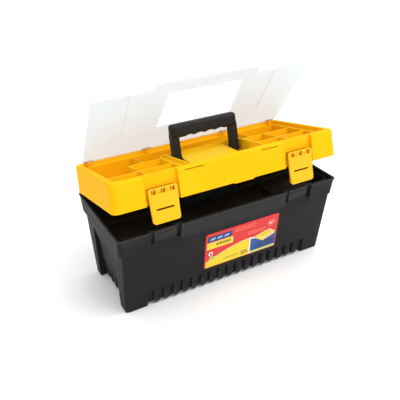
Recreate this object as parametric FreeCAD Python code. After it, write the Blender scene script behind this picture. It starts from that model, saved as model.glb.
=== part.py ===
import FreeCAD, Part
import math
import os

# Toolbox with a tray: a black tub with a lift-out tray, and a yellow organiser lid with
# bins, a folding carry handle, two front latches and a clear hinged cover.
# Millimetres. Origin at the centre of the tub's underside, +Z up, front towards -Y.
# The lid and all it carries are drawn shut, then swung open together at the end.

V = FreeCAD.Vector
X_AXIS = V(1, 0, 0)
Y_AXIS = V(0, 1, 0)
OPENING_AXIS = V(-1, 0, 0)
EDGE_STEPS = 4
OVER = 9.0
SINK = 0.5

# ---- poses of the stored object -----------------------------------------------------
LID_OPEN_DEG = 13.5
COVER_OPEN_DEG = 43.9

# ---- tub ----------------------------------------------------------------------------
WALL = 3.0
UNDERSIDE_Z = 4.3
FLOOR_Z = 7.8
TUB_TOP_Z = 186.0
SKIRT_Z = 148.0
BEAD_Z = 183.2
FOOT_HALF_X = 238.0
FOOT_HALF_Y = 84.0
RIM_HALF_X = 250.5
RIM_HALF_Y = 108.0
COLUMN_TOP_HALF_X = 242.0
SKIRT_HALF_X = 247.5
BEAD = 1.0
RIM_CORNER_R = 8.0
COLUMN_CORNER_R = 6.0
FRONT_SLOPE = (RIM_HALF_Y - FOOT_HALF_Y) / TUB_TOP_Z
FRONT_TILT_DEG = math.degrees(math.atan(FRONT_SLOPE))
LEDGE_Z = 151.0
END_RECESS_Y = (-56.0, 59.0)
END_RECESS_FOOT_X = 224.0
END_RECESS_KNEE = (234.5, 100.0)
END_RECESS_TOP = (242.5, 132.0)
END_SLOPE = (END_RECESS_KNEE[0] - END_RECESS_FOOT_X) / END_RECESS_KNEE[1]
BASE_R = 3.0
BASE_BAND_Z = 39.0
BASE_BAND_HALF_X = 191.5
BASE_BAND_DEPTH = 4.0
BASE_LIP_Z = 8.5
BASE_LIP = 2.5
RIB_COUNT = 17
END_RIB_COUNT = 5
END_RIB_MIDDLE_Y = -0.7
RIB_PITCH = 21.3
RIB_WIDTH = 13.0
SKID_YS = (-45.0, 0.0, 45.0)
SKID_HALF_X = 190.0
SKID_HALF_Y = 4.0
POCKET_X = (121.5, 184.5)
POCKET_Z = 145.0
POCKET_FLAT_Z = 160.0
POCKET_DEPTH = 2.5
GROOVE_X = ((121.5, 130.0), (176.0, 184.5))
GROOVE_Z = 159.0
GROOVE_DEPTH = 5.5
CATCH_Z = (176.0, 178.5)
CATCH_Y = 106.2
CATCH_BACK_Y = 103.0

# ---- label --------------------------------------------------------------------------
LABEL_X = (-65.5, 110.0)
LABEL_Z = (50.0, 139.0)
LABEL_R = 5.0
LABEL_T = 0.6

# ---- lid ----------------------------------------------------------------------------
HINGE_Y = 110.6
HINGE_Z = 193.0
LID_Z = 188.5
LID_TOP_Z = 244.4
LID_HALF_X = 250.0
LID_TOP_HALF_X = 246.8
LID_FRONT_Y = -108.6
LID_BACK_Y = 112.0
LID_EDGE_R = 4.5
LID_CORNER_R = 14.0
RIM_INNER = (235.0, -96.0, 100.0)
RIM_INNER_R = 12.0
SEAT_INNER = (226.0, -84.5, 88.0)
SEAT_INNER_R = 6.0
SEAT_Z = 236.5
BIN_FLOOR_Z = 202.0
LID_FLOOR = 3.0
LATCH_BAY_X = (118.0, 186.0)
LATCH_BAY_Y = -101.5
FRONT_TAB_X = (-4.4, 43.8)
FRONT_TAB_Z = 186.4
FRONT_TAB_SIDE = 3.0
SLIT_X = (64.0, 103.0)
SLIT_Z = (237.0, 238.8)
SLIT_DEPTH = WALL + 1.0

# ---- lid hinge ----------------------------------------------------------------------
LID_HINGE_XS = (-170.0, 0.0, 170.0)
LID_ROD_R = 1.75
LID_ROD_HALF = 27.0
KNUCKLE_R = 3.6
TUB_KNUCKLE_HALF = 10.0
TUB_KNUCKLE_FOOT_Z = 173.2
LID_KNUCKLE = (10.5, 27.0)
HINGE_NOTCH_HALF = 10.5
RUN_FIT = 0.05
NOTCH_GAP = 0.6

# ---- bins: dividers up to the seat the cover lies on -----------------------------------
DIVIDER_T = 2.0
BACK_ROW_Y = 25.0
MIDDLE_ROW_Y = -32.0
BACK_DIVIDER_XS = (-129.0, 125.0)
LEFT_DIVIDER_X = -163.0
RIGHT_DIVIDER_X = 158.0

# ---- trough between the bins that the handle folds into --------------------------------
TROUGH_WALL_X = (83.0, 86.0)
TROUGH_WALL_BACK_Y = 20.0
TROUGH_WALL_TOP_Z = 244.0
LEDGE_X = 93.0
LEDGE_T = 2.5
REAR_WALL_Y = (24.0, 27.0)
REAR_WALL_TOP_Z = 241.0
HUMP_HALF_X = 55.0
LEG_POCKET_Y = -36.0
LEG_POCKET_Z = 210.0
TROUGH_T = 3.0
HUMP_LINE = ((24.0, 235.0), (10.0, 233.5), (-15.0, 230.5), (LEG_POCKET_Y, 228.0))
TROUGH_LINE = ((LEG_POCKET_Y, 228.0), (-60.0, 227.0), (-75.0, 231.0), (-84.5, 236.5))

# ---- carry handle ---------------------------------------------------------------------
PIVOT_Y = 0.0
PIVOT_Z = 229.0
HANDLE_PIN_R = 3.0
HANDLE_PIN_X = (66.0, 86.0)
BOSS_R = 8.0
BOSS_X = (57.0, 76.0)
LEG_X = (59.0, 75.0)
LEG_HALF_Y = 7.5
GRIP_HALF_X = 74.5
GRIP_Z = (275.5, 303.5)
GRIP_HALF_Y = 11.0
GRIP_R = 8.0
GRIP_END_R = 6.5
FINGER_PITCH = 23.7
FINGER_R = 17.0
FINGER_DEPTH = 3.5
FINGER_COUNT = 4

# ---- latches --------------------------------------------------------------------------
LATCH_X = 153.0
LATCH_PIVOT_Y = -108.5
LATCH_PIVOT_Z = 214.5
LATCH_TOP_Z = 219.0
LATCH_FOOT_Z = 152.5
LATCH_TOP_HALF = 29.0
LATCH_FOOT_HALF = 27.5
LATCH_T = 4.0
LATCH_KINK_Z = 179.0
LATCH_KINK = 1.6
LATCH_BEVEL = 1.5
LATCH_TOP_CORNER = 3.0
LATCH_FOOT_CORNER = 4.0
LATCH_SLOT_HALF = 18.0
LATCH_SLOT_HALF_Z = 1.9
HOOK_Z = (171.5, 175.0)
HOOK_DEPTH = 1.5
WINDOW_PITCH = 18.9
WINDOW_HALF = 4.6
WINDOW_Z = (208.4, 217.0)
EAR_HALF = 1.4
EAR_R = 2.4
EAR_FOOT_Z = 199.0
BAY_SLOT_HALF = 27.0
BAY_SLOT_Z = (203.0, 218.0)
LATCH_PIN_R = 1.3
LATCH_PIN_HALF = LATCH_FOOT_HALF - 1.0
LATCH_BARREL_R = 2.5
MARK_HALF = 1.2
MARK_DEPTH = 2.0
MARK_Z = (209.4, 212.5)

# ---- clear cover ----------------------------------------------------------------------
COVER_Y = 91.4
COVER_Z = 247.4
COVER_PLATE_Z = (245.2, 247.2)
COVER_HALF_X = 236.0
COVER_LENGTH = 191.6
COVER_R = 9.0
CUT_NEAR = (74.5, 86.8)
CUT_FAR = (177.0, 81.5)
COVER_TAB_HALF_X = 112.8
COVER_TAB_LENGTH = 208.5
COVER_RIB_X = 160.0
COVER_RIB_S = (60.0, 182.0)
COVER_RIB_H = 1.4
COVER_RIB_HALF = 0.8
COVER_TAB_OVERLAP = 20.0
COVER_TAB_R = 4.0
COVER_HINGE_XS = (-222.0, -94.0, 94.0, 222.0)
COVER_PIN_R = 1.4
COVER_PIN_HALF = 10.0
COVER_EAR_HALF = 3.0
COVER_KNUCKLE = (3.4, 9.5)
COVER_KNUCKLE_R = 2.7
COVER_BARREL_R = 2.6
COVER_EAR_FOOT_Z = 234.5

# ---- tray -----------------------------------------------------------------------------
TRAY_HALF_X = 243.5
TRAY_HALF_Y = 91.0
TRAY_FOOT_HALF_X = 241.6
TRAY_FOOT_HALF_Y = 86.0
TRAY_TOP_Z = 178.0
TRAY_T = 2.5
TRAY_R = 12.0
TRAY_DIVIDER_XS = (-120.0, 0.0, 120.0)
TRAY_DIVIDER_TOP_Z = 163.0
TRAY_BAR_HALF_X = 62.0
TRAY_BAR_GRIP = (167.0, 178.0)
TRAY_BAR_HALF_Y = 6.0
TRAY_POST = 8.0


def block(x0, x1, y0, y1, z0, z1):
    return Part.makeBox(x1 - x0, y1 - y0, z1 - z0, V(x0, y0, z0))


def x_rod(radius, x0, x1, y, z):
    return Part.makeCylinder(radius, x1 - x0, V(x0, y, z), X_AXIS)


def rounded_loop(x0, x1, y0, y1, radius, z):
    """Closed rectangle with round corners at height z."""
    bend = radius * (1.0 - math.sqrt(0.5))
    corners = (
        (V(x1 - radius, y0, z), V(x1 - bend, y0 + bend, z), V(x1, y0 + radius, z)),
        (V(x1, y1 - radius, z), V(x1 - bend, y1 - bend, z), V(x1 - radius, y1, z)),
        (V(x0 + radius, y1, z), V(x0 + bend, y1 - bend, z), V(x0, y1 - radius, z)),
        (V(x0, y0 + radius, z), V(x0 + bend, y0 + bend, z), V(x0 + radius, y0, z)),
    )
    edges = []
    for i, (start, middle, end) in enumerate(corners):
        edges.append(Part.Arc(start, middle, end).toShape())
        edges.append(Part.makeLine(end, corners[(i + 1) % 4][0]))
    return Part.Wire(edges)


def drafted(*sections):
    """Solid through rounded rectangles given as (half_x, y0, y1, radius, z)."""
    loops = [rounded_loop(-hx, hx, y0, y1, r, z) for hx, y0, y1, r, z in sections]
    return Part.makeLoft(loops, True, True)


def round_edge(half_x, y0, y1, radius, z, edge, side):
    """Loft sections of a quarter-round edge that ends flat at z, above (1) or below (-1)."""
    sections = []
    for step in range(EDGE_STEPS + 1):
        turn = math.radians(90.0 * step / EDGE_STEPS)
        inset = edge * (1.0 - math.cos(turn))
        height = z - side * edge * (1.0 - math.sin(turn))
        sections.append((half_x - inset, y0 + inset, y1 - inset, radius - inset, height))
    return sections[::side]


def x_prism(points_yz, x0, x1):
    """Extrude a polygon given in the YZ plane from x0 to x1."""
    corners = [V(x0, y, z) for y, z in points_yz]
    corners.append(corners[0])
    return Part.Face(Part.makePolygon(corners)).extrude(V(x1 - x0, 0, 0))


def y_prism(points_xz, y0, y1):
    corners = [V(x, y0, z) for x, z in points_xz]
    corners.append(corners[0])
    return Part.Face(Part.makePolygon(corners)).extrude(V(0, y1 - y0, 0))


def joined(solids):
    solids = list(solids)
    return solids[0].fuse(solids[1:]).removeSplitter()


def mirrored_x(shape):
    return shape.mirror(V(0, 0, 0), X_AXIS)


def mirrored_y(shape):
    return shape.mirror(V(0, 0, 0), Y_AXIS)


# ---- tub ----------------------------------------------------------------------------
def wall_y(z):
    """Distance of the front and back walls from the middle at height z."""
    return FOOT_HALF_Y + FRONT_SLOPE * z


def end_x(z):
    """Distance of the recessed end panels from the middle at height z."""
    return END_RECESS_FOOT_X + END_SLOPE * z


def end_recess(grow):
    """Slot in the end wall between the corner columns; grow adds wall round it."""
    knee_x, knee_z = END_RECESS_KNEE
    top_x, top_z = END_RECESS_TOP
    outline = (
        (end_x(0.0) - grow, -OVER), (RIM_HALF_X + OVER, -OVER),
        (RIM_HALF_X + OVER, top_z + grow), (top_x - grow, top_z + grow),
        (knee_x - grow, knee_z),
    )
    slot = y_prism(outline, END_RECESS_Y[0] - grow, END_RECESS_Y[1] + grow)
    return [slot, mirrored_x(slot)]


def base_bands(grow):
    """Shallow bands along the foot of all four walls that the ribs stand in."""
    depth = BASE_BAND_DEPTH + grow
    top = BASE_BAND_Z + grow
    front_outline = (
        (-wall_y(0.0) + depth, 0.0), (-wall_y(top) + depth, top),
        (-RIM_HALF_Y - OVER, top), (-RIM_HALF_Y - OVER, 0.0),
    )
    front = x_prism(front_outline, -BASE_BAND_HALF_X - grow, BASE_BAND_HALF_X + grow)
    end_outline = (
        (end_x(0.0) - depth, 0.0), (end_x(top) - depth, top),
        (RIM_HALF_X + OVER, top), (RIM_HALF_X + OVER, 0.0),
    )
    end = y_prism(end_outline, END_RECESS_Y[0] - grow, END_RECESS_Y[1] + grow)
    return [front, mirrored_y(front), end, mirrored_x(end)]


def raised_outline(edge):
    """Section of the space under the floor; edge is the outer face of the wall there."""
    inner = edge - BASE_LIP
    return (
        (-edge - OVER, -OVER), (-edge - OVER, BASE_LIP_Z), (-edge, BASE_LIP_Z),
        (-inner, UNDERSIDE_Z), (inner, UNDERSIDE_Z),
        (edge, BASE_LIP_Z), (edge + OVER, BASE_LIP_Z), (edge + OVER, -OVER),
    )


def under_floor():
    """Space under the raised floor that leaves a foot at each corner."""
    along = raised_outline(wall_y(0.0) - BASE_BAND_DEPTH)
    across = raised_outline(end_x(0.0) - BASE_BAND_DEPTH)
    return [
        x_prism(along, -BASE_BAND_HALF_X, BASE_BAND_HALF_X),
        y_prism(across, *END_RECESS_Y),
    ]


def latch_pocket(grow):
    """Pocket in the front wall that a latch hangs in, open at the rim."""
    x0, x1 = POCKET_X
    foot_z = POCKET_Z - grow
    depth = POCKET_DEPTH + grow
    above = TUB_TOP_Z + OVER
    outline = (
        (-RIM_HALF_Y - OVER, foot_z), (-wall_y(foot_z) + grow, foot_z),
        (-wall_y(POCKET_FLAT_Z) + depth, POCKET_FLAT_Z - grow),
        (-wall_y(above) + depth, above), (-RIM_HALF_Y - OVER, above),
    )
    pocket = x_prism(outline, x0 - grow, x1 + grow)
    return [pocket, mirrored_x(pocket)]


def side_grooves(grow):
    """Upright grooves at both sides of each latch pocket, open at the rim."""
    foot_z = GROOVE_Z - grow
    depth = GROOVE_DEPTH + grow
    above = TUB_TOP_Z + OVER
    outline = (
        (-RIM_HALF_Y - OVER, foot_z), (-wall_y(foot_z) + depth, foot_z),
        (-wall_y(above) + depth, above), (-RIM_HALF_Y - OVER, above),
    )
    grooves = []
    for x0, x1 in GROOVE_X:
        groove = x_prism(outline, x0 - grow, x1 + grow)
        grooves.extend([groove, mirrored_x(groove)])
    return grooves


def base_ribs():
    """Ribs with round feet, on the front and back and on the two ends."""
    half = RIB_WIDTH / 2.0
    foot_z = UNDERSIDE_Z + half
    top = BASE_BAND_Z + 1.0
    back_y = -wall_y(0.0) + BASE_BAND_DEPTH + SINK
    back_x = end_x(0.0) - BASE_BAND_DEPTH - SINK
    parts = []
    for i in range(RIB_COUNT):
        x = (i - (RIB_COUNT - 1) / 2.0) * RIB_PITCH
        shank = block(x - half, x + half, -RIM_HALF_Y, back_y, foot_z, top)
        foot = Part.makeCylinder(half, back_y + RIM_HALF_Y, V(x, -RIM_HALF_Y, foot_z), Y_AXIS)
        rib = shank.fuse(foot)
        parts.extend([rib, mirrored_y(rib)])
    for i in range(END_RIB_COUNT):
        y = END_RIB_MIDDLE_Y + (i - (END_RIB_COUNT - 1) / 2.0) * RIB_PITCH
        shank = block(back_x, RIM_HALF_X, y - half, y + half, foot_z, top)
        foot = Part.makeCylinder(half, RIM_HALF_X - back_x, V(back_x, y, foot_z), X_AXIS)
        rib = shank.fuse(foot)
        parts.extend([rib, mirrored_x(rib)])
    return joined(parts)


def tub_outer():
    column_slope = (COLUMN_TOP_HALF_X - FOOT_HALF_X) / SKIRT_Z
    lower = drafted(
        *round_edge(FOOT_HALF_X + column_slope * BASE_R, -wall_y(BASE_R), wall_y(BASE_R),
                    COLUMN_CORNER_R, 0.0, BASE_R, -1),
        (COLUMN_TOP_HALF_X, -wall_y(SKIRT_Z), wall_y(SKIRT_Z), COLUMN_CORNER_R, SKIRT_Z),
    )
    skirt = drafted(
        (SKIRT_HALF_X, -wall_y(SKIRT_Z), wall_y(SKIRT_Z), RIM_CORNER_R, SKIRT_Z),
        (RIM_HALF_X - BEAD, -wall_y(BEAD_Z), wall_y(BEAD_Z), RIM_CORNER_R, BEAD_Z),
    )
    bead = drafted(
        (RIM_HALF_X, -RIM_HALF_Y - BEAD, RIM_HALF_Y + BEAD, RIM_CORNER_R, BEAD_Z),
        (RIM_HALF_X, -RIM_HALF_Y - BEAD, RIM_HALF_Y + BEAD, RIM_CORNER_R, TUB_TOP_Z),
    )
    return joined([lower, skirt, bead])


def tub_cavity():
    column_r = COLUMN_CORNER_R - WALL
    rim_r = RIM_CORNER_R - WALL
    foot_y = wall_y(FLOOR_Z) - WALL
    ledge_y = wall_y(LEDGE_Z) - WALL
    top_y = RIM_HALF_Y - WALL
    above = TUB_TOP_Z + 1.0
    lower = drafted(
        (FOOT_HALF_X - WALL, -foot_y, foot_y, column_r, FLOOR_Z),
        (COLUMN_TOP_HALF_X - WALL, -ledge_y, ledge_y, column_r, LEDGE_Z),
    )
    upper = drafted(
        (SKIRT_HALF_X - WALL, -ledge_y, ledge_y, rim_r, LEDGE_Z),
        (RIM_HALF_X - WALL - BEAD, -top_y, top_y, rim_r, above),
    )
    kept = end_recess(WALL) + base_bands(WALL) + latch_pocket(WALL) + side_grooves(WALL)
    return joined([lower, upper]).cut(kept)


def tub_knuckles():
    """Hinge barrels standing on the back rim, each bored for its rod."""
    parts = []
    for x in LID_HINGE_XS:
        x0 = x - TUB_KNUCKLE_HALF
        x1 = x + TUB_KNUCKLE_HALF
        barrel = x_rod(KNUCKLE_R, x0, x1, HINGE_Y, HINGE_Z)
        arm = block(x0, x1, HINGE_Y - KNUCKLE_R, HINGE_Y + KNUCKLE_R,
                    TUB_KNUCKLE_FOOT_Z, HINGE_Z)
        parts.append(barrel.fuse(arm))
    return parts


def make_tub():
    outline = tub_outer().cut(end_recess(0.0) + latch_pocket(0.0) + side_grooves(0.0))
    ribs = base_ribs().common(outline)
    body = joined([outline.cut(base_bands(0.0) + under_floor()), ribs]).cut(tub_cavity())
    added = tub_knuckles()
    for sign in (-1.0, 1.0):
        x = sign * LATCH_X
        added.append(block(x - LATCH_SLOT_HALF, x + LATCH_SLOT_HALF,
                           -CATCH_Y, -CATCH_BACK_Y, *CATCH_Z))
    for y in SKID_YS:
        added.append(block(-SKID_HALF_X, SKID_HALF_X, y - SKID_HALF_Y, y + SKID_HALF_Y,
                           0.0, UNDERSIDE_Z + 1.0))
    rods = [x_rod(LID_ROD_R, x - LID_ROD_HALF, x + LID_ROD_HALF, HINGE_Y, HINGE_Z)
            for x in LID_HINGE_XS]
    return joined([body] + added).cut(rods)


def make_label():
    """Sticker lying on the sloping front wall."""
    lean = math.cos(math.radians(FRONT_TILT_DEG))
    z0, z1 = (z / lean for z in LABEL_Z)
    loop = rounded_loop(LABEL_X[0], LABEL_X[1], z0, z1, LABEL_R, 0.0)
    sheet = Part.Face(loop).extrude(V(0, 0, LABEL_T))
    sheet.rotate(V(0, 0, 0), X_AXIS, 90.0)
    sheet.rotate(V(0, 0, 0), X_AXIS, FRONT_TILT_DEG)
    sheet.translate(V(0, -FOOT_HALF_Y, 0))
    return sheet


def make_lid_rods():
    return Part.makeCompound([
        x_rod(LID_ROD_R, x - LID_ROD_HALF, x + LID_ROD_HALF, HINGE_Y, HINGE_Z)
        for x in LID_HINGE_XS
    ])


# ---- lid ----------------------------------------------------------------------------
def bin_well(grow):
    """Stepped well in the lid's top that the bins stand in."""
    rim_x, rim_front, rim_back = RIM_INNER
    seat_x, seat_front, seat_back = SEAT_INNER
    low = (seat_x + grow, seat_front - grow, seat_back + grow, SEAT_INNER_R + grow)
    high = (rim_x + grow, rim_front - grow, rim_back + grow, RIM_INNER_R + grow)
    well = drafted((*low, BIN_FLOOR_Z - grow), (*low, SEAT_Z + 1.0))
    seat = drafted((*high, SEAT_Z - grow), (*high, LID_TOP_Z + OVER))
    return well.fuse(seat)


def latch_bays(grow):
    x0, x1 = LATCH_BAY_X
    bay = block(x0 - grow, x1 + grow, LID_FRONT_Y - OVER, LATCH_BAY_Y + grow,
                LID_Z - 1.0, LID_TOP_Z + OVER)
    return [bay, mirrored_x(bay)]


def lid_outer():
    return drafted(
        (LID_HALF_X, LID_FRONT_Y, LID_BACK_Y, LID_CORNER_R, LID_Z),
        *round_edge(LID_TOP_HALF_X, LID_FRONT_Y, LID_BACK_Y, LID_CORNER_R, LID_TOP_Z,
                    LID_EDGE_R, 1),
    )


def lid_underside():
    """Hollow under the lid, left inside its walls, land and floor."""
    inner_r = LID_CORNER_R - WALL
    hollow = drafted(
        (LID_HALF_X - WALL, LID_FRONT_Y + WALL, LID_BACK_Y - WALL, inner_r, LID_Z - 1.0),
        (LID_TOP_HALF_X - WALL, LID_FRONT_Y + WALL, LID_BACK_Y - WALL, inner_r,
         LID_TOP_Z - WALL),
    )
    return hollow.cut([bin_well(LID_FLOOR)] + latch_bays(WALL))


def latch_ears():
    """Small ears in each latch bay that carry the latch's pin."""
    parts = []
    for sign in (-1.0, 1.0):
        for step in (-1.0, 0.0, 1.0):
            x = sign * LATCH_X + step * WINDOW_PITCH
            barrel = x_rod(EAR_R, x - EAR_HALF, x + EAR_HALF, LATCH_PIVOT_Y, LATCH_PIVOT_Z)
            web = block(x - EAR_HALF, x + EAR_HALF, LATCH_PIVOT_Y, LATCH_BAY_Y + 1.0,
                        EAR_FOOT_Z, LATCH_PIVOT_Z)
            parts.append(barrel.fuse(web))
    return parts


def cover_ears():
    """Ears on the lid's back land that carry the cover's pins."""
    parts = []
    for x in COVER_HINGE_XS:
        x0 = x - COVER_EAR_HALF
        x1 = x + COVER_EAR_HALF
        barrel = x_rod(COVER_KNUCKLE_R, x0, x1, COVER_Y, COVER_Z)
        web = block(x0, x1, COVER_Y - COVER_KNUCKLE_R, COVER_Y + COVER_KNUCKLE_R,
                    COVER_EAR_FOOT_Z, COVER_Z)
        parts.append(barrel.fuse(web))
    return parts


def lid_knuckles():
    parts = []
    near, far = LID_KNUCKLE
    for x in LID_HINGE_XS:
        for x0, x1 in ((x - far, x - near), (x + near, x + far)):
            parts.append(x_rod(KNUCKLE_R, x0, x1, HINGE_Y, HINGE_Z))
    return parts


def front_tab():
    """Small tab under the lid's front edge, flush with its face."""
    x0, x1 = FRONT_TAB_X
    outline = (
        (x0, LID_Z + 1.0), (x0, LID_Z), (x0 + FRONT_TAB_SIDE, FRONT_TAB_Z),
        (x1 - FRONT_TAB_SIDE, FRONT_TAB_Z), (x1, LID_Z), (x1, LID_Z + 1.0),
    )
    return y_prism(outline, LID_FRONT_Y, LID_FRONT_Y + WALL)


def make_lid():
    hollow = [bin_well(0.0), lid_underside()] + latch_bays(0.0)
    cuts = []
    for sign in (-1.0, 1.0):
        x = sign * LATCH_X
        hollow.append(block(x - BAY_SLOT_HALF, x + BAY_SLOT_HALF, LATCH_BAY_Y - 1.0,
                            LATCH_BAY_Y + WALL + 1.0, *BAY_SLOT_Z))
        cuts.append(x_rod(LATCH_PIN_R, x - LATCH_FOOT_HALF, x + LATCH_FOOT_HALF,
                          LATCH_PIVOT_Y, LATCH_PIVOT_Z))
        slit_x = sorted(sign * edge for edge in SLIT_X)
        cuts.append(block(*slit_x, LID_FRONT_Y - 1.0, LID_FRONT_Y + SLIT_DEPTH, *SLIT_Z))
    body = lid_outer().cut(hollow)
    body = joined([body, front_tab()] + latch_ears() + cover_ears() + lid_knuckles())
    for x in LID_HINGE_XS:
        cuts.append(block(x - HINGE_NOTCH_HALF, x + HINGE_NOTCH_HALF,
                          HINGE_Y - KNUCKLE_R - NOTCH_GAP, LID_BACK_Y + OVER,
                          LID_Z - OVER, HINGE_Z + KNUCKLE_R + NOTCH_GAP))
        cuts.append(x_rod(LID_ROD_R + RUN_FIT, x - LID_ROD_HALF - SINK,
                          x + LID_ROD_HALF + SINK, HINGE_Y, HINGE_Z))
    for x in COVER_HINGE_XS:
        cuts.append(x_rod(COVER_PIN_R, x - COVER_PIN_HALF, x + COVER_PIN_HALF,
                          COVER_Y, COVER_Z))
    return body.cut(cuts)


def divider_x(x, y0, y1):
    """Divider standing across the lid at x."""
    return block(x - DIVIDER_T / 2, x + DIVIDER_T / 2, y0, y1, BIN_FLOOR_Z, SEAT_Z)


def divider_y(y, x0, x1):
    """Divider running along the lid at y."""
    return block(x0, x1, y - DIVIDER_T / 2, y + DIVIDER_T / 2, BIN_FLOOR_Z, SEAT_Z)


def cross_dividers(back_x, front_x, rear_y):
    """One divider in the back row, and one through both front rows in two lengths."""
    _, front, back = SEAT_INNER
    half = DIVIDER_T / 2
    return Part.makeCompound([
        divider_x(back_x, BACK_ROW_Y + half, back),
        divider_x(front_x, MIDDLE_ROW_Y + half, rear_y),
        divider_x(front_x, front, MIDDLE_ROW_Y - half),
    ])


def make_left_cross_dividers():
    return cross_dividers(BACK_DIVIDER_XS[0], LEFT_DIVIDER_X, BACK_ROW_Y + DIVIDER_T / 2)


def make_right_cross_dividers():
    return cross_dividers(BACK_DIVIDER_XS[1], RIGHT_DIVIDER_X, BACK_ROW_Y - DIVIDER_T / 2)


def make_left_long_dividers():
    return Part.makeCompound([
        divider_y(BACK_ROW_Y, LEFT_DIVIDER_X + DIVIDER_T / 2, -LEDGE_X),
        divider_y(MIDDLE_ROW_Y, -SEAT_INNER[0], -LEDGE_X),
    ])


def make_right_long_dividers():
    return Part.makeCompound([
        divider_y(y, LEDGE_X, SEAT_INNER[0]) for y in (BACK_ROW_Y, MIDDLE_ROW_Y)
    ])


def sheet_under(line):
    """Section of a sheet whose top follows the line."""
    return list(line) + [(y, z - TROUGH_T) for y, z in reversed(line)]


def trough_side():
    """Right-hand side of the trough: wall, ledge for the cover and the leg's deep pocket."""
    inner_x, outer_x = TROUGH_WALL_X
    front = SEAT_INNER[1]
    back = REAR_WALL_Y[0] + 1.0
    under_z = LEG_POCKET_Z - TROUGH_T
    hump_x = HUMP_HALF_X - TROUGH_T
    hump_side = [(back, HUMP_LINE[0][1]), *HUMP_LINE, (LEG_POCKET_Y, under_z), (back, under_z)]
    return [
        block(inner_x, outer_x, front, TROUGH_WALL_BACK_Y, BIN_FLOOR_Z, TROUGH_WALL_TOP_Z),
        block(inner_x, outer_x, TROUGH_WALL_BACK_Y - 1.0, back, BIN_FLOOR_Z, SEAT_Z),
        block(inner_x, LEDGE_X, front, back, SEAT_Z - LEDGE_T, SEAT_Z),
        block(LEDGE_X - DIVIDER_T, LEDGE_X, front, back, BIN_FLOOR_Z, SEAT_Z),
        block(hump_x, inner_x + 1.0, LEG_POCKET_Y, back, under_z, LEG_POCKET_Z),
        block(hump_x, inner_x + 1.0, LEG_POCKET_Y - TROUGH_T, LEG_POCKET_Y, under_z,
              TROUGH_LINE[0][1] - 1.0),
        x_prism(sheet_under(TROUGH_LINE), hump_x, inner_x + 1.0),
        x_prism(hump_side, hump_x, HUMP_HALF_X),
    ]


def make_trough():
    """Middle of the lid: a humped floor between two deep pockets for the handle's legs."""
    parts = trough_side()
    parts += [mirrored_x(part) for part in parts]
    floor_line = HUMP_LINE + TROUGH_LINE[1:]
    parts.append(x_prism(sheet_under(floor_line), -HUMP_HALF_X, HUMP_HALF_X))
    parts.append(block(-LEDGE_X, LEDGE_X, *REAR_WALL_Y, BIN_FLOOR_Z, REAR_WALL_TOP_Z))
    return joined(parts).cut(handle_pins())


# ---- handle -------------------------------------------------------------------------
def handle_pins():
    pin = x_rod(HANDLE_PIN_R, *HANDLE_PIN_X, PIVOT_Y, PIVOT_Z)
    return [pin, mirrored_x(pin)]


def make_handle():
    z0, z1 = GRIP_Z
    loop = rounded_loop(-GRIP_HALF_Y, GRIP_HALF_Y, z0, z1, GRIP_R, 0.0)
    grip = Part.Face(loop).extrude(V(0, 0, 2 * GRIP_HALF_X))
    grip.rotate(V(0, 0, 0), X_AXIS, 90.0)
    grip.rotate(V(0, 0, 0), V(0, 0, 1), 90.0)
    grip.translate(V(-GRIP_HALF_X, PIVOT_Y, 0))
    notches = []
    for i in range(FINGER_COUNT):
        x = (i - (FINGER_COUNT - 1) / 2.0) * FINGER_PITCH
        notches.append(Part.makeCylinder(FINGER_R, 4 * GRIP_HALF_Y,
                                         V(x, -2 * GRIP_HALF_Y, z0 + FINGER_DEPTH - FINGER_R),
                                         Y_AXIS))
    grip = grip.cut(notches)
    grip = grip.makeFillet(GRIP_END_R, end_edges(grip))
    leg = block(*LEG_X, -LEG_HALF_Y, LEG_HALF_Y, PIVOT_Z, z0 + GRIP_R)
    boss = x_rod(BOSS_R, *BOSS_X, PIVOT_Y, PIVOT_Z)
    parts = [leg, boss]
    body = joined([grip] + parts + [mirrored_x(part) for part in parts])
    bore = x_rod(HANDLE_PIN_R + RUN_FIT, HANDLE_PIN_X[0] - 1.0, HANDLE_PIN_X[1],
                 PIVOT_Y, PIVOT_Z)
    return body.cut([bore, mirrored_x(bore)])


def end_edges(grip):
    """Edges round the two flat ends of the grip."""
    found = []
    for edge in grip.Edges:
        box = edge.BoundBox
        if box.XLength < 0.01 and abs(abs(box.Center.x) - GRIP_HALF_X) < 0.01:
            found.append(edge)
    return found


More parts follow.
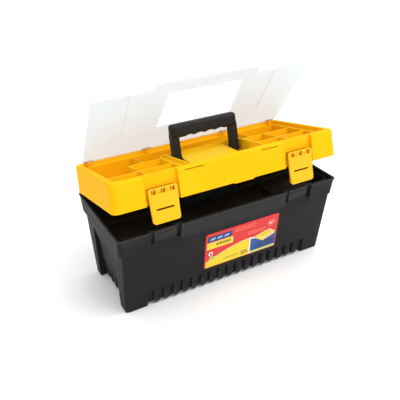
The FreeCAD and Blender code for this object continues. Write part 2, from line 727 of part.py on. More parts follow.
# ---- latches ------------------------------------------------------------------------
def make_latch(sign):
    """Plate latch hanging from its pin, with windows over the lid's ears."""
    x = sign * LATCH_X
    back = LATCH_PIVOT_Y
    front = back - LATCH_T
    profile = (
        (back, LATCH_TOP_Z), (front + LATCH_BEVEL, LATCH_TOP_Z),
        (front, LATCH_TOP_Z - LATCH_BEVEL), (front, LATCH_KINK_Z),
        (front - LATCH_KINK, LATCH_FOOT_Z + LATCH_BEVEL),
        (front - LATCH_KINK + LATCH_BEVEL, LATCH_FOOT_Z), (back, LATCH_FOOT_Z),
    )
    plate = x_prism(profile, x - LATCH_TOP_HALF, x + LATCH_TOP_HALF)
    half_outline = (
        (LATCH_TOP_HALF - LATCH_TOP_CORNER, LATCH_TOP_Z),
        (LATCH_TOP_HALF, LATCH_TOP_Z - LATCH_TOP_CORNER),
        (LATCH_FOOT_HALF, LATCH_FOOT_Z + LATCH_FOOT_CORNER),
        (LATCH_FOOT_HALF - LATCH_FOOT_CORNER, LATCH_FOOT_Z),
    )
    outline = [(x + half, z) for half, z in half_outline]
    outline += [(x - half, z) for half, z in reversed(half_outline)]
    plate = plate.common(y_prism(outline, front - OVER, back + OVER))
    barrel = x_rod(LATCH_BARREL_R, x - LATCH_PIN_HALF, x + LATCH_PIN_HALF, back, LATCH_PIVOT_Z)
    hook = block(x - LATCH_SLOT_HALF, x + LATCH_SLOT_HALF, back - 1.0, back + HOOK_DEPTH,
                 *HOOK_Z)
    body = joined([plate, barrel, hook])
    cuts = []
    for step in (-1.0, 0.0, 1.0):
        centre = x + step * WINDOW_PITCH
        cuts.append(block(centre - WINDOW_HALF, centre + WINDOW_HALF, front - 1.0, back + OVER,
                          *WINDOW_Z))
    for step in (-0.5, 0.5):
        centre = x + step * WINDOW_PITCH
        cuts.append(block(centre - MARK_HALF, centre + MARK_HALF, front - 1.0,
                          front + MARK_DEPTH, *MARK_Z))
    cuts.append(block(x - LATCH_SLOT_HALF, x + LATCH_SLOT_HALF, front - OVER, back + OVER,
                      LATCH_KINK_Z - LATCH_SLOT_HALF_Z, LATCH_KINK_Z + LATCH_SLOT_HALF_Z))
    cuts.append(x_rod(LATCH_PIN_R + RUN_FIT, x - LATCH_TOP_HALF, x + LATCH_TOP_HALF,
                      back, LATCH_PIVOT_Z))
    return body.cut(cuts)


def make_latch_pins():
    return Part.makeCompound([
        x_rod(LATCH_PIN_R, x - LATCH_PIN_HALF, x + LATCH_PIN_HALF, LATCH_PIVOT_Y, LATCH_PIVOT_Z)
        for x in (-LATCH_X, LATCH_X)
    ])


# ---- cover --------------------------------------------------------------------------
def make_cover():
    """Clear sheet over the bins, notched round the handle, with a front tab."""
    z0, z1 = COVER_PLATE_Z
    thick = z1 - z0
    sheet = Part.Face(rounded_loop(-COVER_HALF_X, COVER_HALF_X, COVER_Y - COVER_LENGTH,
                                   COVER_Y, COVER_R, z0)).extrude(V(0, 0, thick))
    tab = Part.Face(rounded_loop(-COVER_TAB_HALF_X, COVER_TAB_HALF_X,
                                 COVER_Y - COVER_TAB_LENGTH,
                                 COVER_Y - COVER_LENGTH + COVER_TAB_OVERLAP,
                                 COVER_TAB_R, z0)).extrude(V(0, 0, thick))
    near_s, near_x = CUT_NEAR
    far_s, far_x = CUT_FAR
    corners = [
        V(-near_x, COVER_Y - near_s, z0 - 1.0), V(near_x, COVER_Y - near_s, z0 - 1.0),
        V(far_x, COVER_Y - far_s, z0 - 1.0), V(-far_x, COVER_Y - far_s, z0 - 1.0),
    ]
    corners.append(corners[0])
    opening = Part.Face(Part.makePolygon(corners)).extrude(V(0, 0, thick + 2.0))
    ribs = []
    for x in (-COVER_RIB_X, COVER_RIB_X):
        ribs.append(block(x - COVER_RIB_HALF, x + COVER_RIB_HALF, COVER_Y - COVER_RIB_S[1],
                          COVER_Y - COVER_RIB_S[0], z1 - SINK, z1 + COVER_RIB_H))
    knuckles = []
    notches = []
    near, far = COVER_KNUCKLE
    for x in COVER_HINGE_XS:
        for x0, x1 in ((x - far, x - near), (x + near, x + far)):
            knuckles.append(x_rod(COVER_BARREL_R, x0, x1, COVER_Y, COVER_Z))
        notches.append(block(x - near, x + near, COVER_Y - COVER_KNUCKLE_R - NOTCH_GAP,
                             COVER_Y + OVER, z0 - OVER, z1 + OVER))
    body = joined([sheet, tab] + ribs + knuckles).cut([opening] + notches)
    return body.cut([
        x_rod(COVER_PIN_R + RUN_FIT, x - far - 1.0, x + far + 1.0, COVER_Y, COVER_Z)
        for x in COVER_HINGE_XS
    ])


def make_cover_pins():
    return Part.makeCompound([
        x_rod(COVER_PIN_R, x - COVER_PIN_HALF, x + COVER_PIN_HALF, COVER_Y, COVER_Z)
        for x in COVER_HINGE_XS
    ])


# ---- tray ---------------------------------------------------------------------------
def make_tray():
    outer = drafted(
        (TRAY_FOOT_HALF_X, -TRAY_FOOT_HALF_Y, TRAY_FOOT_HALF_Y, TRAY_R, LEDGE_Z),
        (TRAY_HALF_X, -TRAY_HALF_Y, TRAY_HALF_Y, TRAY_R, TRAY_TOP_Z),
    )
    inner_r = TRAY_R - TRAY_T
    hollow = drafted(
        (TRAY_FOOT_HALF_X - TRAY_T, -TRAY_FOOT_HALF_Y + TRAY_T, TRAY_FOOT_HALF_Y - TRAY_T,
         inner_r, LEDGE_Z + TRAY_T),
        (TRAY_HALF_X - TRAY_T, -TRAY_HALF_Y + TRAY_T, TRAY_HALF_Y - TRAY_T,
         inner_r, TRAY_TOP_Z + 0.01),
    )
    return outer.cut(hollow)


def make_tray_long_divider():
    """Lengthwise web that stands on the tray's floor."""
    end_x = TRAY_FOOT_HALF_X - TRAY_T
    half = TRAY_T / 2.0
    return block(-end_x, end_x, -half, half, LEDGE_Z + TRAY_T, TRAY_DIVIDER_TOP_Z)


def make_tray_cross_dividers():
    """Cross webs in front of and behind the lengthwise web."""
    side_y = TRAY_FOOT_HALF_Y - TRAY_T
    half = TRAY_T / 2.0
    webs = []
    for x in TRAY_DIVIDER_XS:
        web = block(x - half, x + half, half, side_y, LEDGE_Z + TRAY_T, TRAY_DIVIDER_TOP_Z)
        webs.extend([web, mirrored_y(web)])
    return Part.makeCompound(webs)


def make_tray_bar():
    """Grip bar on two posts in the middle of the tray."""
    z0, z1 = TRAY_BAR_GRIP
    bar = block(-TRAY_BAR_HALF_X, TRAY_BAR_HALF_X, -TRAY_BAR_HALF_Y, TRAY_BAR_HALF_Y, z0, z1)
    post = block(TRAY_BAR_HALF_X - TRAY_POST, TRAY_BAR_HALF_X, -TRAY_BAR_HALF_Y,
                 TRAY_BAR_HALF_Y, TRAY_DIVIDER_TOP_Z, z0 + 1.0)
    return joined([bar, post, mirrored_x(post)])


def opened(shape, *swings):
    """Turn a shape through each (degrees, y, z) about lines parallel to X."""
    turned = shape.copy()
    for degrees, y, z in swings:
        turned.rotate(V(0, y, z), OPENING_AXIS, degrees)
    return turned


LID_SWING = (LID_OPEN_DEG, HINGE_Y, HINGE_Z)
COVER_SWING = (COVER_OPEN_DEG, COVER_Y, COVER_Z)

fixed = {
    "tub_shell": make_tub(),
    "label": make_label(),
    "lid_hinge_rods": make_lid_rods(),
    "tray_shell": make_tray(),
    "tray_long_divider": make_tray_long_divider(),
    "tray_cross_dividers": make_tray_cross_dividers(),
    "tray_grip_bar": make_tray_bar(),
}
on_lid = {
    "lid_shell": make_lid(),
    "bin_long_dividers_left": make_left_long_dividers(),
    "bin_long_dividers_right": make_right_long_dividers(),
    "bin_cross_dividers_left": make_left_cross_dividers(),
    "bin_cross_dividers_right": make_right_cross_dividers(),
    "handle_trough": make_trough(),
    "handle_pins": Part.makeCompound(handle_pins()),
    "carry_handle": make_handle(),
    "latch_pins": make_latch_pins(),
    "latch_left": make_latch(-1.0),
    "latch_right": make_latch(1.0),
    "cover_pins": make_cover_pins(),
}

pieces = dict(fixed)
for name, shape in on_lid.items():
    pieces[name] = opened(shape, LID_SWING)
pieces["clear_cover"] = opened(make_cover(), COVER_SWING, LID_SWING)

os.makedirs("parts", exist_ok=True)
for name, shape in pieces.items():
    shape.exportStep("parts/" + name + ".step")
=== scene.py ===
import math

import bmesh
import bpy
from mathutils import Matrix, Vector


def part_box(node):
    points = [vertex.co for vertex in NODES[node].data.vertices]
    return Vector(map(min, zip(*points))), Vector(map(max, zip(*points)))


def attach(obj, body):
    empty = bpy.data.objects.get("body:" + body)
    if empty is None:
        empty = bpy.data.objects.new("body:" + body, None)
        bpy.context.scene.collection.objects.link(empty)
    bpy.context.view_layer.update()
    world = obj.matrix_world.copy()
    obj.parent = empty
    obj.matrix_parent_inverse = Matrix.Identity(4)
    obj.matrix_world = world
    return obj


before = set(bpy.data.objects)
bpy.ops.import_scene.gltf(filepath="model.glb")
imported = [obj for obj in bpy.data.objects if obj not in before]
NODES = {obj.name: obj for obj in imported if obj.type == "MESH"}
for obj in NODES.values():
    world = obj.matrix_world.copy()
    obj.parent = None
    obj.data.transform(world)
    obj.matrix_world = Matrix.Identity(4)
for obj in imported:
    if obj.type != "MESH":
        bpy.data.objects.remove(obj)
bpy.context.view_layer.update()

MM = 0.001

# ---- camera: aimed at a point three quarters of the way up the tub -----------------
AIM = Vector((-0.0080, 0.0269, 0.1390))
CAMERA_AZIMUTH = math.radians(-28.61)
CAMERA_ELEVATION = math.radians(29.73)
CAMERA_ROLL = math.radians(-0.80)
CAMERA_DISTANCE = 1.2211
LENS_MM = 50.5
SENSOR_MM = 36.0
CLIP_NEAR, CLIP_FAR = 0.05, 50.0

# ---- studio: a pale floor, a pale room and one soft lamp above the front right -----
FLOOR_WHITE = (0.97, 0.97, 0.97)
FLOOR_ROUGHNESS = 0.9
FLOOR_HALF = 60.0
ROOM_WHITE = (1.0, 1.0, 1.0)
ROOM_LEFT_RIGHT = (0.66, 1.16)    # how bright the room is to the left and to the right
ROOM_LEVEL_ABOVE = (0.82, 1.60)   # the same, from eye level to straight overhead
LAMP_PLACE = (0.8, -1.1, 2.6)
LAMP_AIM = (0.0, 0.0, 0.15)
LAMP_SIZE = 1.8
LAMP_POWER = 23.0

# ---- colours (linear) --------------------------------------------------------------
YELLOW = (0.95, 0.495, 0.006)
YELLOW_DEEP = (0.99, 0.58, 0.004)
BLACK = (0.0120, 0.0115, 0.0118)
INNER_BLACK = (0.0095, 0.0095, 0.0100)
HANDLE_BLACK = (0.0125, 0.0115, 0.0120)
CLEAR = (0.50, 0.62, 0.70)
STEEL = (0.42, 0.41, 0.39)
INKS = {
    "red": (0.70, 0.016, 0.010),
    "blue": (0.002, 0.075, 0.30),
    "navy": (0.008, 0.030, 0.16),
    "yellow": (0.90, 0.62, 0.006),
    "lime": (0.62, 0.66, 0.14),
    "peach": (0.93, 0.58, 0.22),
    "pink": (0.90, 0.16, 0.12),
    "sky": (0.28, 0.52, 0.80),
    "olive": (0.20, 0.15, 0.004),
    "leaf": (0.38, 0.50, 0.13),
    "white": (0.84, 0.82, 0.78),
    "dark": (0.02, 0.02, 0.03),
}

# ---- surface detail ----------------------------------------------------------------
# Scales are in noise cells per metre, so a larger one is finer. A shade is a factor on
# the colour. A spread is how far the roughness goes below and above its middle value.
NOISE_RANGE = (0.3, 0.7)          # where nearly all of a noise's values lie
PLASTIC_IOR = 1.49

DRIFT_SCALE = 7.0                 # slow change of tone over a moulding
DRIFT_SHADES = (0.94, 1.05)
SPECK_SCALE = 420.0               # small darker specks
SPECK_RANGE = (0.62, 0.72)
SPECK_SHADE = 0.90
WEAR_RANGE = (0.52, 0.60)         # pointiness from which an edge looks rubbed
WEAR_LIGHT = 0.05                 # how much lighter the rubbed colour is
PATCH_SCALE = 22.0                # patches of duller and glossier skin
PATCH_SPREAD = (-0.05, 0.07)
GRAIN_SCALE = 1400.0              # the mould's own grain
GRAIN_HEIGHT = 0.0003
EDGE_ROUNDING = 0.0009            # edges of a moulding, rounded in the shading
EDGE_SAMPLES = 6

COVER_OPACITY = 0.32
HAZE_SCALE = 12.0
HAZE_ROUGHNESS = (0.34, 0.40)

STEEL_SCALE = 90.0
STEEL_SHADE = 0.85
STEEL_ROUGHNESS = (0.28, 0.42)

FILM_ROUGHNESS = 0.32
MOTTLING_SCALE = 160.0
MOTTLING_SHADES = (0.94, 1.04)
FILM_PATCH_SCALE = 35.0
FILM_PATCH_SPREAD = (-0.04, 0.06)

# ---- mesh edges --------------------------------------------------------------------
SHARP_ANGLE = math.radians(24.0)  # an edge that turns more than this is rounded
WELD_DISTANCE = 0.00001


# ---- materials ---------------------------------------------------------------------
def new_material(name):
    material = bpy.data.materials.new(name)
    material.use_nodes = True
    tree = material.node_tree
    return material, tree, tree.nodes["Principled BSDF"]


def object_coords(tree):
    return tree.nodes.new("ShaderNodeTexCoord").outputs["Object"]


def noise(tree, coords, scale, detail=3.0):
    node = tree.nodes.new("ShaderNodeTexNoise")
    node.inputs["Scale"].default_value = scale
    node.inputs["Detail"].default_value = detail
    tree.links.new(coords, node.inputs["Vector"])
    return node.outputs["Fac"]


def remap(tree, value, low, high, source=NOISE_RANGE):
    """The value, moved from the source range to low and high, and held inside them."""
    node = tree.nodes.new("ShaderNodeMapRange")
    node.inputs["From Min"].default_value = source[0]
    node.inputs["From Max"].default_value = source[1]
    node.inputs["To Min"].default_value = low
    node.inputs["To Max"].default_value = high
    tree.links.new(value, node.inputs["Value"])
    return node.outputs["Result"]


def blended(tree, factor, colour_a, colour_b):
    """Colour that goes from a to b with factor; each may be a tuple or a socket."""
    node = tree.nodes.new("ShaderNodeMix")
    node.data_type = "RGBA"
    tree.links.new(factor, node.inputs["Factor"])
    sockets = [s for s in node.inputs if s.type == "RGBA"]
    for socket, colour in zip(sockets, (colour_a, colour_b)):
        if isinstance(colour, tuple):
            socket.default_value = (*colour, 1.0)
        else:
            tree.links.new(colour, socket)
    return [s for s in node.outputs if s.type == "RGBA"][0]


def shade(colour, factor):
    return tuple(min(1.0, channel * factor) for channel in colour)


def around(middle, spread):
    return tuple(middle + offset for offset in spread)


def moulded_plastic(name, colour, roughness, grain, gloss, wear=0.0):
    """Moulded plastic: fine grain, slow tone drift, gloss patches and rubbed edges."""
    material, tree, shader = new_material(name)
    coords = object_coords(tree)
    drift = remap(tree, noise(tree, coords, DRIFT_SCALE), 0.0, 1.0)
    tone = blended(tree, drift, *(shade(colour, factor) for factor in DRIFT_SHADES))
    specks = noise(tree, coords, SPECK_SCALE, detail=2.0)
    specks = remap(tree, specks, 0.0, 1.0, SPECK_RANGE)
    tone = blended(tree, specks, tone, shade(colour, SPECK_SHADE))
    if wear > 0.0:
        edges = tree.nodes.new("ShaderNodeNewGeometry").outputs["Pointiness"]
        rubbed = remap(tree, edges, 0.0, wear, WEAR_RANGE)
        tone = blended(tree, rubbed, tone, tuple(c + WEAR_LIGHT for c in colour))
    tree.links.new(tone, shader.inputs["Base Color"])
    patches = noise(tree, coords, PATCH_SCALE, detail=4.0)
    patches = remap(tree, patches, *around(roughness, PATCH_SPREAD))
    tree.links.new(patches, shader.inputs["Roughness"])
    rounding = tree.nodes.new("ShaderNodeBevel")
    rounding.samples = EDGE_SAMPLES
    rounding.inputs["Radius"].default_value = EDGE_ROUNDING
    bump = tree.nodes.new("ShaderNodeBump")
    bump.inputs["Strength"].default_value = grain
    bump.inputs["Distance"].default_value = GRAIN_HEIGHT
    grains = noise(tree, coords, GRAIN_SCALE, detail=2.0)
    tree.links.new(grains, bump.inputs["Height"])
    tree.links.new(rounding.outputs["Normal"], bump.inputs["Normal"])
    tree.links.new(bump.outputs["Normal"], shader.inputs["Normal"])
    shader.inputs["Specular IOR Level"].default_value = gloss
    shader.inputs["IOR"].default_value = PLASTIC_IOR
    return material


def clear_plastic(name):
    """Thin clear sheet: mostly see-through, faintly milky, with soft gloss."""
    material, tree, shader = new_material(name)
    coords = object_coords(tree)
    haze = remap(tree, noise(tree, coords, HAZE_SCALE, detail=1.0), *HAZE_ROUGHNESS)
    tree.links.new(haze, shader.inputs["Roughness"])
    shader.inputs["Alpha"].default_value = COVER_OPACITY
    shader.inputs["Base Color"].default_value = (*CLEAR, 1.0)
    shader.inputs["IOR"].default_value = PLASTIC_IOR
    return material


def pin_steel(name):
    """Plain drawn steel: slightly uneven in tone and gloss."""
    material, tree, shader = new_material(name)
    coords = object_coords(tree)
    drift = remap(tree, noise(tree, coords, STEEL_SCALE), 0.0, 1.0)
    tone = blended(tree, drift, shade(STEEL, STEEL_SHADE), STEEL)
    tree.links.new(tone, shader.inputs["Base Color"])
    polish = remap(tree, drift, *STEEL_ROUGHNESS, (0.0, 1.0))
    tree.links.new(polish, shader.inputs["Roughness"])
    shader.inputs["Metallic"].default_value = 1.0
    return material


def printed_film(name, colour):
    """Ink on a thin film: faint mottling and a soft sheen."""
    material, tree, shader = new_material(name)
    coords = object_coords(tree)
    mottling = remap(tree, noise(tree, coords, MOTTLING_SCALE), 0.0, 1.0)
    tones = (shade(colour, factor) for factor in MOTTLING_SHADES)
    tree.links.new(blended(tree, mottling, *tones), shader.inputs["Base Color"])
    patches = noise(tree, coords, FILM_PATCH_SCALE)
    patches = remap(tree, patches, *around(FILM_ROUGHNESS, FILM_PATCH_SPREAD))
    tree.links.new(patches, shader.inputs["Roughness"])
    return material


def plain_floor(name):
    material, _, shader = new_material(name)
    shader.inputs["Base Color"].default_value = (*FLOOR_WHITE, 1.0)
    shader.inputs["Roughness"].default_value = FLOOR_ROUGHNESS
    return material


# Name, colour, roughness, strength of the grain, gloss, and wear along the edges.
yellow = moulded_plastic("yellow_plastic", YELLOW, 0.48, 0.10, 0.02)
yellow_inner = moulded_plastic("yellow_inner_plastic", YELLOW_DEEP, 0.44, 0.10, 0.15)
latch_yellow = moulded_plastic("latch_plastic", YELLOW, 0.42, 0.08, 0.22)
black = moulded_plastic("black_plastic", BLACK, 0.54, 0.22, 0.14, 0.5)
inner_black = moulded_plastic("inner_black_plastic", INNER_BLACK, 0.55, 0.20, 0.2, 0.3)
handle_black = moulded_plastic("handle_plastic", HANDLE_BLACK, 0.50, 0.30, 0.22, 0.4)
clear = clear_plastic("clear_plastic")
steel = pin_steel("pin_steel")
film = {name: printed_film("label_" + name, colour) for name, colour in INKS.items()}


# ---- CAD nodes ---------------------------------------------------------------------
def finish_node(name, material, radius, segments):
    """Give a CAD node its material and softly rounded moulded edges."""
    node = NODES[name]
    node.data.materials.clear()
    node.data.materials.append(material)
    if radius == 0.0:
        return
    weld = node.modifiers.new("weld", "WELD")
    weld.merge_threshold = WELD_DISTANCE
    bevel = node.modifiers.new("edges", "BEVEL")
    bevel.width = radius
    bevel.segments = segments
    bevel.limit_method = "ANGLE"
    bevel.angle_limit = SHARP_ANGLE
    bevel.harden_normals = True
    bevel.use_clamp_overlap = True
    smooth = node.modifiers.new("normals", "WEIGHTED_NORMAL")
    smooth.keep_sharp = True


# Node, material, edge radius in metres, and steps round the edge. The tub and the label
# keep the mesh as it is: a bevel left uneven shading on the tub's flat front.
for finish in (
    ("tub_shell", black, 0.0, 0),
    ("label", film["red"], 0.0, 0),
    ("lid_hinge_rods", steel, 0.0002, 2),
    ("tray_shell", inner_black, 0.0006, 2),
    ("tray_long_divider", inner_black, 0.0004, 2),
    ("tray_cross_dividers", inner_black, 0.0004, 2),
    ("tray_grip_bar", inner_black, 0.0020, 3),
    ("lid_shell", yellow, 0.0010, 3),
    ("bin_long_dividers_left", yellow_inner, 0.0004, 2),
    ("bin_long_dividers_right", yellow_inner, 0.0004, 2),
    ("bin_cross_dividers_left", yellow_inner, 0.0004, 2),
    ("bin_cross_dividers_right", yellow_inner, 0.0004, 2),
    ("handle_trough", yellow_inner, 0.0006, 2),
    ("handle_pins", steel, 0.0003, 2),
    ("carry_handle", handle_black, 0.0020, 3),
    ("latch_left", latch_yellow, 0.0005, 2),
    ("latch_right", latch_yellow, 0.0005, 2),
    ("latch_pins", steel, 0.0002, 2),
    ("cover_pins", steel, 0.0002, 2),
    ("clear_cover", clear, 0.0003, 2),
):
    finish_node(*finish)


# ---- label art ---------------------------------------------------------------------
# Thin layers of ink on the label, counted outwards from the film. Outlines are in
# millimetres, across and up from the label's lower left corner. A block is its left,
# right, bottom and top.
FILM_T = 0.60 * MM
INK_T = 0.12 * MM
WALL_SLOPE = 0.129                # how far the front wall leans out as it rises by one

ART_BOTTOM = 1.5
FIELD_LEFT, FIELD_RIGHT = 3.0, 107.5
FIELD_EDGE = (14.0, 43.0)         # height of the field's top edge, left and right
FIELD_BORDER = 3.0
NAME_BLOCK = (4.5, 61.0, 68.0, 82.5)
WAVE_COUNT, WAVE_START, WAVE_PITCH = 3, 10.0, 16.0
RANGE_BLOCK = (3.5, 65.0, 49.5, 66.5)
RANGE_GROUND = (4.5, 62.0, 50.5, 65.5)
PICTURE = (111.0, 174.0, 7.0, 42.5)
STRIP = (111.0, 174.0, ART_BOTTOM, 7.0)
WEB_COUNT, WEB_START, WEB_PITCH = 2, 137.0, 10.0
EMBLEM, EMBLEM_R = (13.5, 37.0), 5.2
EMBLEM_CORE, EMBLEM_CORE_R = (13.5, 36.0), 2.6
STAMP, STAMP_R, STAMP_GROUND_R = (158.0, 70.0), 9.0, 7.4

DASHES = (5.5, 8.0, 4.0, 6.5)     # lengths of the dashes that stand for small print
DASH_GAP = 1.3
SHORTEST_DASH = 2.0
DISC_STEPS = 28
SWEEP_STEPS = 24

label_low, label_high = (Vector(corner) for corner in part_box("label"))
LEAN = math.atan(WALL_SLOPE)
LABEL_ACROSS = Vector((1.0, 0.0, 0.0))
LABEL_UP = Vector((0.0, -math.sin(LEAN), math.cos(LEAN)))
LABEL_OUT = Vector((0.0, -math.cos(LEAN), -math.sin(LEAN)))
LABEL_CORNER = Vector((label_low.x, label_high.y, label_low.z)) + LABEL_OUT * FILM_T


def label_point(u, v, lift):
    return LABEL_CORNER + LABEL_ACROSS * u + LABEL_UP * v + LABEL_OUT * lift


def ink(name, outline, material, layer):
    """Thin closed slab on the label; the outline goes anticlockwise."""
    mesh = bmesh.new()
    low = INK_T * (layer - 1)
    high = INK_T * layer
    bottom = [mesh.verts.new(label_point(u * MM, v * MM, low)) for u, v in outline]
    top = [mesh.verts.new(label_point(u * MM, v * MM, high)) for u, v in outline]
    mesh.faces.new(top)
    mesh.faces.new(bottom[::-1])
    count = len(outline)
    for i in range(count):
        after = (i + 1) % count
        mesh.faces.new((bottom[i], bottom[after], top[after], top[i]))
    bmesh.ops.recalc_face_normals(mesh, faces=mesh.faces)
    data = bpy.data.meshes.new(name)
    mesh.to_mesh(data)
    mesh.free()
    data.materials.append(material)
    piece = bpy.data.objects.new(name, data)
    bpy.context.scene.collection.objects.link(piece)
    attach(piece, "tub")


def block(left, right, bottom, top):
    return [(left, bottom), (right, bottom), (right, top), (left, top)]


def disc(centre, radius):
    u, v = centre
    turns = [2.0 * math.pi * i / DISC_STEPS for i in range(DISC_STEPS)]
    return [(u + radius * math.cos(turn), v + radius * math.sin(turn)) for turn in turns]


def sweep(u0, u1, v0, v1):
    """Rising arc from (u0, v0) that flattens out at (u1, v1)."""
    points = []
    for i in range(SWEEP_STEPS + 1):
        share = i / SWEEP_STEPS
        rise = math.sin(share * math.pi / 2.0)
        points.append((u0 + (u1 - u0) * share, v0 + (v1 - v0) * rise))
    return points


def text_bars(name, left, right, tops, height, material, layer):
    """Rows of plain dashes that stand for small print."""
    for row, top in enumerate(tops):
        start = left
        index = 0
        while start < right - SHORTEST_DASH:
            end = min(start + DASHES[(index + row) % len(DASHES)], right)
            dash = block(start, end, top - height, top)
            ink("{}_{}_{}".format(name, row, index), dash, material, layer)
            start = end + DASH_GAP
            index += 1


def make_field():
    """Yellow field whose top edge rises to the right, with a paler border along it."""
    for name, border, material, layer in (
        ("label_sun_edge", FIELD_BORDER, film["peach"], 1),
        ("label_sun", 0.0, film["yellow"], 2),
    ):
        edge = sweep(FIELD_LEFT, FIELD_RIGHT, *around(border, FIELD_EDGE))
        foot = [(FIELD_LEFT, ART_BOTTOM), (FIELD_RIGHT, ART_BOTTOM)]
        ink(name, [*foot, *edge[::-1]], material, layer)


def make_name_blocks():
    """A block of plain waves where a name would be, and a block of dashes below it."""
    ink("label_name_block", block(*NAME_BLOCK), film["navy"], 1)
    for i in range(WAVE_COUNT):
        u = WAVE_START + WAVE_PITCH * i
        wave = [(u, 72.0), (u + 11.0, 73.5), (u + 13.0, 78.0), (u + 2.0, 76.5)]
        ink("label_name_wave_{}".format(i), wave, film["sky"], 2)
    ink("label_range_block", block(*RANGE_BLOCK), film["peach"], 1)
    ink("label_range_ground", block(*RANGE_GROUND), film["yellow"], 2)
    text_bars("label_range_bar", 25.0, 59.0, (62.0,), 6.0, film["olive"], 3)


def make_picture():
    """Blue panel with a darker patch, set off by white edges and a strip below."""
    ink("label_picture", block(*PICTURE), film["blue"], 1)
    shadow = [(127.0, 9.0), (171.0, 12.0), (172.0, 24.0), (150.0, 30.0), (128.0, 26.0)]
    ink("label_picture_shade", shadow, film["navy"], 2)
    divider = [(108.0, ART_BOTTOM), (111.0, ART_BOTTOM), (109.2, 44.0), (106.2, 44.0)]
    ink("label_divider", divider, film["white"], 3)
    corner = [(107.0, 42.5), (122.0, 40.0), (121.0, 44.0), (105.5, 46.5)]
    ink("label_picture_edge", corner, film["white"], 3)
    ink("label_strip", block(*STRIP), film["lime"], 2)


def make_tray_picture():
    """Plain drawing of an open tray seen from above its corner."""
    top = [(121.5, 46.0), (140.0, 34.0), (171.0, 43.5), (155.0, 55.0)]
    well = [(129.0, 45.0), (141.0, 37.5), (163.0, 44.0), (152.5, 51.0)]
    front = [(121.5, 46.0), (123.0, 39.0), (140.5, 27.0), (140.0, 34.0)]
    side = [(140.0, 34.0), (140.5, 27.0), (169.0, 37.0), (171.0, 43.5)]
    ink("label_tray_top", top, film["peach"], 3)
    ink("label_tray_well", well, film["yellow"], 4)
    ink("label_tray_front", front, film["yellow"], 3)
    ink("label_tray_side", side, film["peach"], 3)
    for i in range(WEB_COUNT):
        u = WEB_START + WEB_PITCH * i
        near, far = 3.0 * i, 2.0 * i
        web = [(u, 40.0 + near), (u + 1.2, 39.6 + near),
               (u + 8.0, 47.0 + far), (u + 6.8, 47.6 + far)]
        ink("label_tray_web_{}".format(i), web, film["olive"], 5)


def make_emblem():
    ink("label_emblem", disc(EMBLEM, EMBLEM_R), film["white"], 3)
    ink("label_emblem_core", disc(EMBLEM_CORE, EMBLEM_CORE_R), film["dark"], 4)
    leaf = [(10.0, 22.0), (22.0, 20.0), (24.0, 27.0), (12.0, 31.0)]
    ink("label_leaf", leaf, film["leaf"], 3)


def make_small_print():
    """Rows of dashes, each set between a left and a right, with its rows' tops."""
    text_bars("label_note", 68.0, 117.0, (83.5, 77.5), 2.6, film["pink"], 2)
    text_bars("label_note_low", 101.0, 146.0, (63.5, 58.5), 2.4, film["pink"], 2)
    text_bars("label_size", 88.0, 105.0, (17.0, 11.5), 3.6, film["olive"], 3)
    text_bars("label_print_row", 45.0, 84.0, (13.5,), 2.0, film["olive"], 3)


def make_stamp():
    ink("label_stamp", disc(STAMP, STAMP_R), film["pink"], 1)
    ink("label_stamp_ground", disc(STAMP, STAMP_GROUND_R), film["red"], 2)
    text_bars("label_stamp_bar", 152.5, 163.5, (73.0, 69.0), 1.8, film["white"], 3)


make_field()
make_name_blocks()
make_picture()
make_tray_picture()
make_emblem()
make_small_print()
make_stamp()


# ---- studio ------------------------------------------------------------------------
def make_floor():
    mesh = bpy.data.meshes.new("studio_floor")
    half = FLOOR_HALF
    corners = [(-half, -half, 0), (half, -half, 0), (half, half, 0), (-half, half, 0)]
    mesh.from_pydata(corners, [], [(0, 1, 2, 3)])
    mesh.materials.append(plain_floor("studio_floor"))
    floor = bpy.data.objects.new("studio_floor", mesh)
    bpy.context.scene.collection.objects.link(floor)


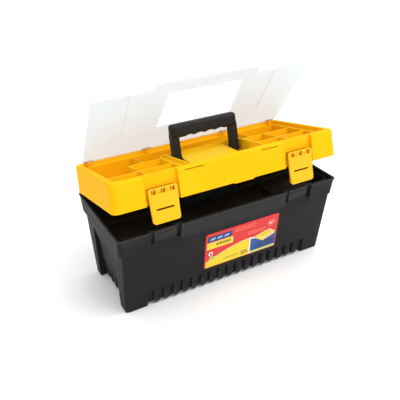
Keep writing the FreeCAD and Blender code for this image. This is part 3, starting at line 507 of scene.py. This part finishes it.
def make_room():
    """Pale room, brighter to the right and overhead, that lights the object softly."""
    room = bpy.data.worlds.new("studio")
    bpy.context.scene.world = room
    room.use_nodes = True
    tree = room.node_tree
    background = tree.nodes["Background"]
    background.inputs["Color"].default_value = (*ROOM_WHITE, 1.0)
    coords = tree.nodes.new("ShaderNodeTexCoord").outputs["Generated"]
    towards = tree.nodes.new("ShaderNodeSeparateXYZ")
    tree.links.new(coords, towards.inputs["Vector"])
    across = remap(tree, towards.outputs["X"], *ROOM_LEFT_RIGHT, (-1.0, 1.0))
    above = remap(tree, towards.outputs["Z"], *ROOM_LEVEL_ABOVE, (0.0, 1.0))
    total = tree.nodes.new("ShaderNodeMath")
    total.operation = "MULTIPLY"
    tree.links.new(across, total.inputs[0])
    tree.links.new(above, total.inputs[1])
    tree.links.new(total.outputs["Value"], background.inputs["Strength"])


def make_lamp():
    light = bpy.data.lights.new("key", "AREA")
    light.shape = "DISK"
    light.size = LAMP_SIZE
    light.energy = LAMP_POWER
    lamp = bpy.data.objects.new("key", light)
    bpy.context.scene.collection.objects.link(lamp)
    lamp.location = LAMP_PLACE
    ray = Vector(LAMP_AIM) - Vector(LAMP_PLACE)
    lamp.rotation_mode = "QUATERNION"
    lamp.rotation_quaternion = ray.to_track_quat("-Z", "Y")


def make_camera():
    ahead = Vector((
        -math.sin(CAMERA_AZIMUTH) * math.cos(CAMERA_ELEVATION),
        math.cos(CAMERA_AZIMUTH) * math.cos(CAMERA_ELEVATION),
        -math.sin(CAMERA_ELEVATION),
    ))
    level = ahead.cross(Vector((0, 0, 1))).normalized()
    upright = level.cross(ahead)
    right = math.cos(CAMERA_ROLL) * level + math.sin(CAMERA_ROLL) * upright
    up = math.cos(CAMERA_ROLL) * upright - math.sin(CAMERA_ROLL) * level
    place = AIM - ahead * CAMERA_DISTANCE
    data = bpy.data.cameras.new("camera")
    data.sensor_width = SENSOR_MM
    data.lens = LENS_MM
    data.clip_start = CLIP_NEAR
    data.clip_end = CLIP_FAR
    camera = bpy.data.objects.new("camera", data)
    bpy.context.scene.collection.objects.link(camera)
    turn = Matrix((right, up, -ahead)).transposed().to_4x4()
    camera.matrix_world = Matrix.Translation(place) @ turn
    bpy.context.scene.camera = camera


make_floor()
make_room()
make_camera()
make_lamp()
bpy.context.scene.view_settings.view_transform = "Standard"
bpy.context.scene.view_settings.look = "None"
